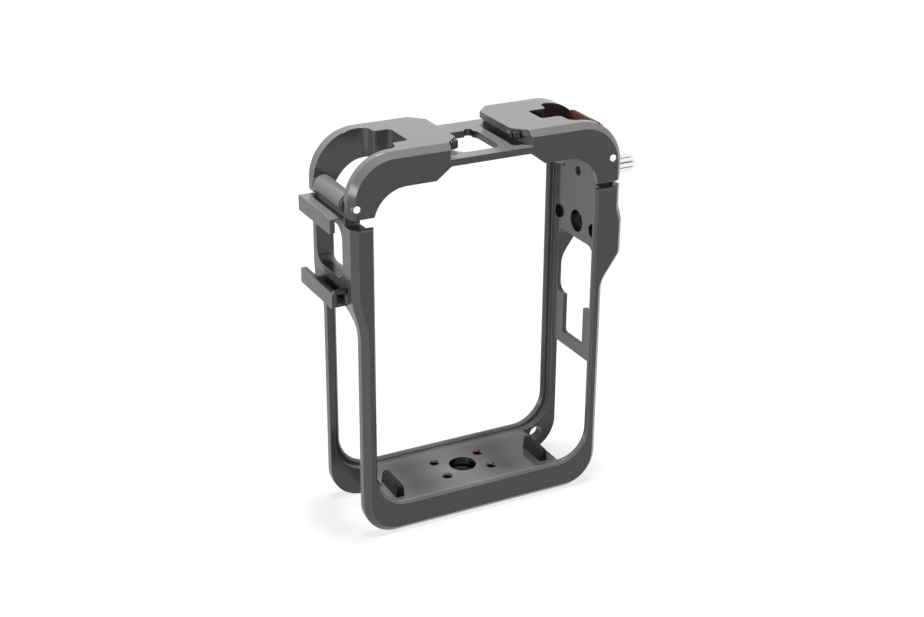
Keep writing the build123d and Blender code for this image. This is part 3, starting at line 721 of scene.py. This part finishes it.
@dataclass
class ThumbScrew:
    """Captive screw: threaded tip, thin neck and a fluted head between plain collars."""

    centre: Point
    tip_x: float = 31.3
    thread_end_x: float = 33.9
    head_x: float = 35.7
    end_x: float = 41.9
    tip_r: float = 0.3
    thread_r: float = 1.0
    root_r: float = 0.76
    neck_r: float = 0.75
    neck_gap: float = 0.05             # from the thread's last row to the neck's first
    neck_ease: float = 0.05
    head_r: float = 1.95
    head_slack: float = 0.02           # keeps collars and crests inside the head's radius
    head_ease: float = 0.12
    chamfer: float = 0.3               # length along the axis, at both ends of the head
    front_drop: float = 0.15           # how far the front chamfer falls
    rear_drop: float = 0.4             # how far the rear chamfer falls
    dish_r: float = 1.0                # rim of the dish in the rear face
    dish_floor_r: float = 0.8
    dish_depth: float = 0.25
    dish_ease: float = 0.1
    dish_floor_ease: float = 0.08
    middle_r: float = 0.02
    pitch: float = 0.4
    lead_in: float = 0.35
    run_out: float = 0.3
    flutes: int = 10
    flute_depth: float = 0.26
    flute_share: float = 0.34
    flute_fade: float = 0.35
    first_flute_deg: float = 12.5
    collar: float = 0.75
    seam: float = 0.02                 # between the flutes' rows and the collars' rows
    face_start: float = 0.06           # below the head's radius, where painted shade on the rear face begins
    face_fade: float = 0.1
    rear_face_shade: float = 0.8
    thread_rows: int = 60
    flute_rows: int = 40
    columns: int = 240
    crease_deg: float = 28.0

    def tip(self, turn: np.ndarray) -> tuple[np.ndarray, np.ndarray]:
        """The threaded tip.

        Its radius is the root plus the thread's height times the triangle wave of distance
        over pitch less the turn, led in and run out at the ends.

        Args:
            turn: share of a full turn, as one row.
        Returns:
            Distance along the axis and radius.
        """
        along = np.linspace(self.tip_x, self.thread_end_x, self.thread_rows)[:, None]
        lead = (np.clip((along - self.tip_x) / self.lead_in, 0, 1)
                * np.clip((self.thread_end_x - along) / self.run_out, 0, 1))
        height = self.thread_r - self.root_r
        return along, self.root_r + height * lead * zigzag(along / self.pitch - turn)

    def grip(self, turn: np.ndarray) -> tuple[np.ndarray, np.ndarray]:
        """The fluted part of the head.

        Each flute is a hump of cosine across its share of the turn, faded out towards both
        collars as a square root.

        Args:
            turn: share of a full turn, as one row.
        Returns:
            Distance along the axis and how deep in a flute each point lies, 0 to 1.
        """
        along = np.linspace(self.head_x + self.collar + self.seam, self.end_x - self.collar,
                            self.flute_rows)[:, None]
        shift = self.first_flute_deg / 360 * self.flutes
        from_flute = (turn * self.flutes - shift + 0.5) % 1.0 - 0.5
        groove = half_cosine(np.clip(from_flute / (self.flute_share / 2), -1, 1))
        to_collar = np.minimum(along - along[0], along[-1] - along)
        return along, groove * np.sqrt(np.clip(to_collar / self.flute_fade, 0, 1))

    def profiles(self) -> tuple[np.ndarray, np.ndarray]:
        """The plain parts of the screw.

        Returns:
            Neck with the front collar, and the rear collar with the dished rear face.
        """
        collar_r = self.head_r - self.head_slack
        dish_x = self.end_x - self.dish_depth
        front = eased_profile([
            (self.thread_end_x + self.neck_gap, self.neck_r, 0),
            (self.head_x, self.neck_r, self.neck_ease),
            (self.head_x, self.head_r - self.front_drop, self.head_ease),
            (self.head_x + self.chamfer, collar_r, self.head_ease),
            (self.head_x + self.collar, collar_r, 0),
        ])
        rear = eased_profile([
            (self.end_x - self.collar + self.seam, collar_r, 0),
            (self.end_x - self.chamfer, collar_r, self.head_ease),
            (self.end_x, self.head_r - self.rear_drop, self.head_ease),
            (self.end_x, self.dish_r, self.dish_ease),
            (dish_x, self.dish_floor_r, self.dish_floor_ease),
            (dish_x, self.middle_r, 0),
        ])
        return front, rear

    def build(self) -> bpy.types.Object:
        """Make the whole screw as one surface of radius over distance and angle.

        Returns:
            The screw, in place of its node.
        """
        angle = around(self.columns)
        tip, thread = self.tip(angle / FULL_TURN)
        front, rear = self.profiles()
        along, groove = self.grip(angle / FULL_TURN)
        fluted = self.head_r - self.head_slack - self.flute_depth * groove
        grid = np.concatenate([
            turned(np.array([[self.tip_x]]), self.tip_r, angle, Axis.X, self.centre),
            turned(tip, thread, angle, Axis.X, self.centre),
            lathed(front, self.columns, Axis.X, self.centre),
            turned(along, fluted, angle, Axis.X, self.centre),
            lathed(rear, self.columns, Axis.X, self.centre),
        ])
        # painted shade: darker in the thread's roots, in the flutes and on the dished rear face
        inward = (self.head_r - self.face_start - rear[:, 1:]) / self.face_fade
        depths = (np.zeros((1, 1)), (self.thread_r - thread) / (self.thread_r - self.root_r),
                  np.zeros((len(front), 1)), groove, np.clip(inward, 0, self.rear_face_shade))
        sunk = np.concatenate([np.broadcast_to(d, (len(d), self.columns)) for d in depths])
        piece = make_piece("thumb_screw_turned", grid, SCREW_FINISH.material(),
                           crease_deg=self.crease_deg, hollow=sunk)
        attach(piece, Body.SCREW.value)
        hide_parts("thumb_screw")
        return piece


# ---- pads ----


@dataclass
class Pad:
    """A rubber pad with lengthwise ridges, and at its front a round nub behind a ring groove."""

    name: str
    node: str
    centre_x: float
    front_y: float = -7.1
    length: float = 8.3
    width: float = 2.2
    foot_z: float = 5.6
    top_z: float = 9.0
    squareness: float = 3.2            # power of the section's superellipse
    groove: float = 0.20
    groove_power: float = 1.3          # above 1, the ridges stay broader than the grooves
    groove_from: float = 0.7           # height above the foot at which the grooves begin
    groove_fade: float = 0.3
    ridge_pitch: float = 0.72
    end_round: float = 0.5
    nub_round: float = 0.85
    nub_length: float = 1.45
    ring_half: float = 0.2             # half the ring groove's width
    ring_depth: float = 0.28
    section_points: int = 161
    foot_points: int = 7
    round_steps: int = 7
    ring_steps: int = 9
    crease_deg: float = 60.0

    def section(self) -> tuple[np.ndarray, np.ndarray]:
        """Smooth outline of the pad's section, and the grooves' depth along it.

        The outline is a superellipse above the foot, walked once over the pad and closed along
        the foot; the depth is a cosine of the distance walked, raised to the groove power.

        Returns:
            Rows of X and Z about the pad's middle and foot, and the depth at each, 0 to 1.
        """
        bend = np.linspace(0, math.pi, self.section_points)
        half, height = self.width / 2, self.top_z - self.foot_z
        power = 2 / self.squareness
        x = half * np.sign(np.cos(bend)) * np.abs(np.cos(bend)) ** power
        z = height * np.abs(np.sin(bend)) ** power
        walked = np.concatenate([[0], np.cumsum(np.hypot(np.diff(x), np.diff(z)))])
        wave = 1 - half_cosine(2 * (walked - walked[-1] / 2) / self.ridge_pitch)
        depth = (wave ** self.groove_power
                 * np.clip((z - self.groove_from) / self.groove_fade, 0, 1))
        level = np.zeros(self.foot_points)
        foot = np.stack([np.linspace(-half, half, self.foot_points + 2)[1:-1], level], axis=-1)
        return np.concatenate([np.stack([x, z], axis=-1), foot]), np.concatenate([depth, level])

    def stations(self) -> tuple[np.ndarray, np.ndarray]:
        """Where along the pad its sections stand, and how far each is drawn in.

        A section is drawn in by a quarter circle near each end, and by a hump of cosine in
        the ring groove.

        Returns:
            Distance from the front and inset of each section.
        """
        bend = np.linspace(0, math.pi / 2, self.round_steps)
        lead, closing = 1 - np.cos(bend), 1 - np.sin(bend)
        ring = np.linspace(-1, 1, self.ring_steps)
        along = np.concatenate([self.nub_round * lead, self.nub_length + self.ring_half * ring,
                                self.length - self.end_round * lead[::-1]])
        inset = np.concatenate([self.nub_round * closing, self.ring_depth * half_cosine(ring),
                                self.end_round * closing[::-1]])
        return along, inset

    def build(self, material: bpy.types.Material) -> bpy.types.Object:
        """Carry the section along Y; the lengthwise grooves start behind the ring groove.

        Args:
            material: the rubber.
        Returns:
            The pad, in place of its node.
        """
        outline, depth = self.section()
        along, inset = self.stations()
        height = self.top_z - self.foot_z
        ribbed = np.clip((along - self.nub_length) / self.ring_half, 0, 1)[:, None] * depth
        out = outline - (0.0, height / 2)
        out = out / np.linalg.norm(out, axis=1, keepdims=True)
        cut = outline - out * (self.groove * ribbed)[..., None]
        grid = np.empty((len(along), len(outline), 3))
        grid[..., 0] = self.centre_x + cut[..., 0] * (1 - inset / (self.width / 2))[:, None]
        grid[..., 1] = (self.front_y + along)[:, None]
        grid[..., 2] = self.foot_z + cut[..., 1] * (1 - inset / height)[:, None]
        # the nub and the grooves stay black; only the ridges get the rubber's painted highlight
        sunk = np.where(along[:, None] <= self.nub_length, 1.0, ribbed)
        piece = make_piece(self.name, grid, material, crease_deg=self.crease_deg, hollow=sunk)
        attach(piece, Body.FRAME.value)
        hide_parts(self.node)
        return piece


# ---- sub-assemblies ----


def dress_node(node: str, material: bpy.types.Material) -> None:
    """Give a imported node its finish.

    Args:
        node: the node's name.
        material: the finish for all of its slots.
    """
    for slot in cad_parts[node].material_slots:
        slot.material = material
    log.info("%s: dressed in %s", node, material.name)


@dataclass
class Cage:
    """Main frame with its tapped holes, floor insert, pads and side stop."""

    floor_z: float = 6.2
    insert_span: Span = (0.1, 4.4)
    insert_thread: Thread = Thread(outer=3.995, root=3.08, crest=2.6, pitch=1.27)
    mouth_span: Span = (4.42, 6.12)
    mouth_thread: Thread = Thread(outer=3.145, root=3.12, crest=2.92, pitch=0.85)
    side_holes_z: float = 61.0
    side_hole_y: float = -0.2
    side_hole_span: Span = (28.35, 32.7)
    side_hole_thread: Thread = Thread(outer=2.6, root=2.54, crest=2.28, pitch=1.27)
    locating_ys: Span = (-7.35, 6.95)
    locating_span: Span = (27.72, 33.5)
    locating_marks: Thread = Thread(outer=1.51, root=1.47, crest=1.44, pitch=0.5,
                                    rows_per_turn=6)
    locating_columns: int = 48
    small_x: float = 5.6
    small_y: float = 3.35
    small_span: Span = (0.4, 5.75)
    small_thread: Thread = Thread(outer=0.99, root=0.94, crest=0.80, pitch=0.4,
                                  rows_per_turn=8)
    small_columns: int = 40
    sink_inner: float = 0.95
    sink_outer: float = 1.3
    pad_xs: Span = (-19.0, 17.4)
    stop_y: float = -7.6
    stop_z: float = 58.1
    stop_span: Span = (-34.05, -30.05)
    stop_r: float = 0.6
    stop_ease: float = 0.12
    stop_crown: float = 0.03

    def large_holes(self) -> list[bpy.types.Object]:
        """Thread the floor and the right wall, and line the two locating holes; the wall's
        liners are near-black painted shade.

        Returns:
            The new pieces.
        """
        middle, side = (0, 0, 0), (0, self.side_hole_y, self.side_holes_z)
        holes = [
            # near-black: painted shade down the floor's hole, on the insert and on a sleeve over
            # the cage's own wall
            TappedHole("floor_insert_tapped", Axis.Z, middle, self.insert_span,
                       self.insert_thread, DARK_FINISH, Slot.DARK, node="thread_insert_floor"),
            TappedHole("floor_mouth_thread", Axis.Z, middle, self.mouth_span,
                       self.mouth_thread, DARK_FINISH, Slot.DARK),
            TappedHole("side_hole_thread", Axis.X, side, self.side_hole_span,
                       self.side_hole_thread, BORE_SHADE_FINISH, Slot.CAGE),
        ]
        for place, y in zip(("front", "rear"), self.locating_ys):
            holes.append(TappedHole(
                f"locating_bore_{place}", Axis.X, (0, y, self.side_holes_z), self.locating_span,
                self.locating_marks, BORE_SHADE_FINISH, Slot.CAGE, columns=self.locating_columns))
        return [hole.build() for hole in holes]

    def small_holes(self) -> list[bpy.types.Object]:
        """Thread the four small holes of the floor, in near-black painted shade, and bare their
        countersinks.

        Returns:
            The new pieces.
        """
        made = []
        places = [(x, y, 0) for x in (-self.small_x, self.small_x)
                  for y in (-self.small_y, self.small_y)]
        for number, centre in enumerate(places, start=1):
            made.append(TappedHole(
                f"small_hole_thread_{number}", Axis.Z, centre, self.small_span,
                self.small_thread, TAPPED_FINISH, Slot.STEEL,
                columns=self.small_columns).build())
            made.append(SinkRing(f"small_hole_sink_{number}", centre, self.floor_z,
                                 self.sink_inner, self.sink_outer).build())
        return made

    def pads(self) -> list[bpy.types.Object]:
        """Make the two rubber pads of the floor from one material."""
        rubber = RUBBER_FINISH.material()
        return [Pad(f"pad_{side}_ribbed", f"pad_{side}", x).build(rubber)
                for side, x in zip(("left", "right"), self.pad_xs)]

    def side_stop(self) -> bpy.types.Object:
        """Turn the stop pin of the side shoe."""
        return Pin("side_stop_turned", "shoe_stop_side", Body.FRAME, Axis.X,
                   (0, self.stop_y, self.stop_z), self.stop_span, self.stop_r, DARK_FINISH,
                   Slot.DARK, ease=self.stop_ease, crown=self.stop_crown,
                   dyed_rim=False).build()

    def build(self) -> list[bpy.types.Object]:
        """Make the frame's own pieces.

        Returns:
            The new pieces.
        """
        return [*self.large_holes(), *self.small_holes(), *self.pads(), self.side_stop()]

    def dress(self, material: bpy.types.Material) -> None:
        """Give the frame its anodised finish."""
        dress_node("main_frame", material)


@dataclass
class Lid:
    """Lid with its two cross pins, four washers and the two stops of the top shoe."""

    hinge: Point = (-30.0, 0.0, 76.6)
    latch: Point = (30.0, 0.0, 78.6)
    pin_span: Span = (-11.0, 11.0)
    pin_r: float = 1.0
    washer_thick: float = 1.0
    washer_r: float = 2.1
    washer_bore: float = 1.05
    front_washers_y: float = -7.6
    hinge_rear_washer_y: float = 6.6
    latch_rear_washer_y: float = 5.2
    stop_xs: Span = (-7.1, 8.1)
    stop_y: float = -7.4
    stop_span: Span = (85.2, 86.95)
    stop_r: float = 1.4

    def build(self) -> list[bpy.types.Object]:
        """Turn the lid's pins, washers and stops.

        Returns:
            The new pieces.
        """
        pins = [Pin(f"{node}_turned", node, Body.LID, Axis.Y, centre, self.pin_span,
                    self.pin_r).build()
                for node, centre in (("hinge_pin", self.hinge), ("latch_pin", self.latch))]
        seats = (
            ("hinge_washer_front", self.hinge, self.front_washers_y),
            ("hinge_washer_rear", self.hinge, self.hinge_rear_washer_y),
            ("latch_washer_front", self.latch, self.front_washers_y),
            ("latch_washer_rear", self.latch, self.latch_rear_washer_y),
        )
        washers = [Washer(f"{node}_eased", node, Body.LID, Axis.Y, (x, y, z), self.washer_thick,
                          self.washer_r, self.washer_bore).build()
                   for node, (x, _, z), y in seats]
        stops = [Pin(f"top_stop_{side}_turned", f"shoe_stop_top_{side}", Body.LID, Axis.Z,
                     (x, self.stop_y, 0), self.stop_span, self.stop_r, DARK_FINISH, Slot.DARK,
                     dyed_rim=False).build()
                 for side, x in zip(("left", "right"), self.stop_xs)]
        return pins + washers + stops

    def dress(self, material: bpy.types.Material) -> None:
        """Give the lid its anodised finish."""
        dress_node("lid", material)


@dataclass
class Latch:
    """Red latch lever with its captive thumb screw and the washer under the screw's head."""

    screw_centre: Point = (0.0, -0.2, 72.7)
    washer_x: float = 35.4
    washer_thick: float = 0.4
    washer_r: float = 1.75
    washer_bore: float = 0.8
    washer_ease: float = 0.08

    def build(self) -> list[bpy.types.Object]:
        """Make the screw and its washer.

        Returns:
            The new pieces.
        """
        _, y, z = self.screw_centre
        washer = Washer("screw_washer_eased", "thumb_screw_washer", Body.CARRIER, Axis.X,
                        (self.washer_x, y, z), self.washer_thick, self.washer_r,
                        self.washer_bore, ease=self.washer_ease)
        return [ThumbScrew(self.screw_centre).build(), washer.build()]

    def dress(self) -> None:
        """Give the lever its red finish."""
        dress_node("latch_lever", LATCH_FINISH.material())


# ---- studio ----


@dataclass(frozen=True)
class Lamp:
    """A wide distant lamp."""

    name: str
    towards: Point                     # direction from the object to the lamp
    strength: float                    # light falling on a surface that faces the lamp
    angle_deg: float                   # how wide the lamp looks from the object

    def build(self) -> None:
        """Hang the lamp so that it shines from its direction."""
        data = bpy.data.lights.new(self.name, "SUN")
        data.energy = self.strength
        data.angle = math.radians(self.angle_deg)
        lamp = new_object(self.name, data)
        lamp.rotation_mode = "QUATERNION"
        lamp.rotation_quaternion = Vector(self.towards).normalized().to_track_quat("Z", "Y")


@dataclass
class Studio:
    """Pale floor, soft lamps, white surroundings and the camera."""

    floor_half: float = 6.0            # half the floor's side, in metres
    floor_colour: float = 0.06         # as light on the object
    seen_floor_colour: float = 0.14    # to the camera and in reflections
    seen_floor_glow: float = 0.81
    ambient: float = 0.01              # the surroundings' light on the object
    overhead: Lamp = Lamp("overhead", (0.03, 0.0, 1.0), 5.7, 11)
    left: Lamp = Lamp("left", (-0.92, -0.36, 0.06), 1.9, 30)
    camera_mm: Point = (-154.640, -293.805, 190.626)
    azimuth_deg: float = -27.69
    elevation_deg: float = 23.68
    roll_deg: float = 0.45
    lens_mm: float = 64.294
    sensor_mm: float = 36.0
    view_reach: Span = (0.01, 50.0)    # nearest and farthest that the camera sees, in metres

    def floor(self) -> bpy.types.Object:
        """Lay the floor, a flat sheet that is paler in view than as light on the object.

        Returns:
            The floor.
        """
        half = self.floor_half
        mesh = bpy.data.meshes.new("floor")
        mesh.from_pydata([(-half, -half, 0), (half, -half, 0), (half, half, 0),
                          (-half, half, 0)], [], [(0, 1, 2, 3)])
        shader = Shader(bpy.data.materials.new("floor_paper"))
        seen = shader.seen()
        shade = shader.spread(seen, Ramp(self.floor_colour, self.seen_floor_colour))
        paper = shader.add("BsdfDiffuse", {"Color": shade, "Roughness": 0.0})
        glow = shader.add("Emission", {
            "Strength": shader.spread(seen, Ramp(0.0, self.seen_floor_glow))})
        surface = shader.add("AddShader", {0: paper.outputs[0], 1: glow.outputs[0]})
        mesh.materials.append(shader.finish(surface.outputs[0]))
        piece = new_object("floor", mesh)
        return piece

    def surroundings(self) -> None:
        """White surroundings to the camera and in reflections, dim as light on the object."""
        world = bpy.data.worlds.new("studio")
        bpy.context.scene.world = world
        shader = Shader(world, "OutputWorld")
        level = shader.spread(shader.seen(), Ramp(self.ambient, 1.0))
        back = shader.add("Background", {"Color": (1, 1, 1, 1), "Strength": level})
        shader.finish(back.outputs[0])

    def camera(self) -> None:
        """Place the camera.

        Azimuth and elevation give the direction back from the object, its cross product with
        the upright gives the level axes, and the roll turns those about the view.
        """
        azimuth, elevation, roll = (
            math.radians(a) for a in (self.azimuth_deg, self.elevation_deg, self.roll_deg))
        back = Vector((math.sin(azimuth) * math.cos(elevation),
                       -math.cos(azimuth) * math.cos(elevation), math.sin(elevation)))
        level_right = Vector((0, 0, 1)).cross(back).normalized()
        level_up = back.cross(level_right)
        right = math.cos(roll) * level_right + math.sin(roll) * level_up
        up = math.cos(roll) * level_up - math.sin(roll) * level_right
        data = bpy.data.cameras.new("camera")
        data.lens = self.lens_mm
        data.sensor_width = self.sensor_mm
        data.sensor_fit = "HORIZONTAL"
        data.clip_start, data.clip_end = self.view_reach
        camera = new_object("camera", data)
        turn = Matrix((right, up, back)).transposed().to_4x4()
        camera.matrix_world = Matrix.Translation(Vector(self.camera_mm) * MM) @ turn
        bpy.context.scene.camera = camera

    def build(self) -> None:
        """Set up floor, surroundings, lamps, camera and view transform."""
        log.info("%s: %s", type(self).__name__, self.floor().name)
        self.surroundings()
        self.overhead.build()
        self.left.build()
        self.camera()
        bpy.context.scene.view_settings.view_transform = "Standard"


def main() -> None:
    """Build and dress every sub-assembly, then the studio, and report each piece."""
    cage_metal = CAGE_FINISH.material()
    cage, lid, latch = Cage(), Lid(), Latch()
    for assembly in (cage, lid, latch):
        for piece in assembly.build():
            log.info("%s: %s, %d faces", type(assembly).__name__, piece.name,
                     len(piece.data.polygons))
    cage.dress(cage_metal)
    lid.dress(cage_metal)
    latch.dress()
    Studio().build()


if __name__ == "__main__":
    logging.basicConfig(level=logging.INFO)
    main()
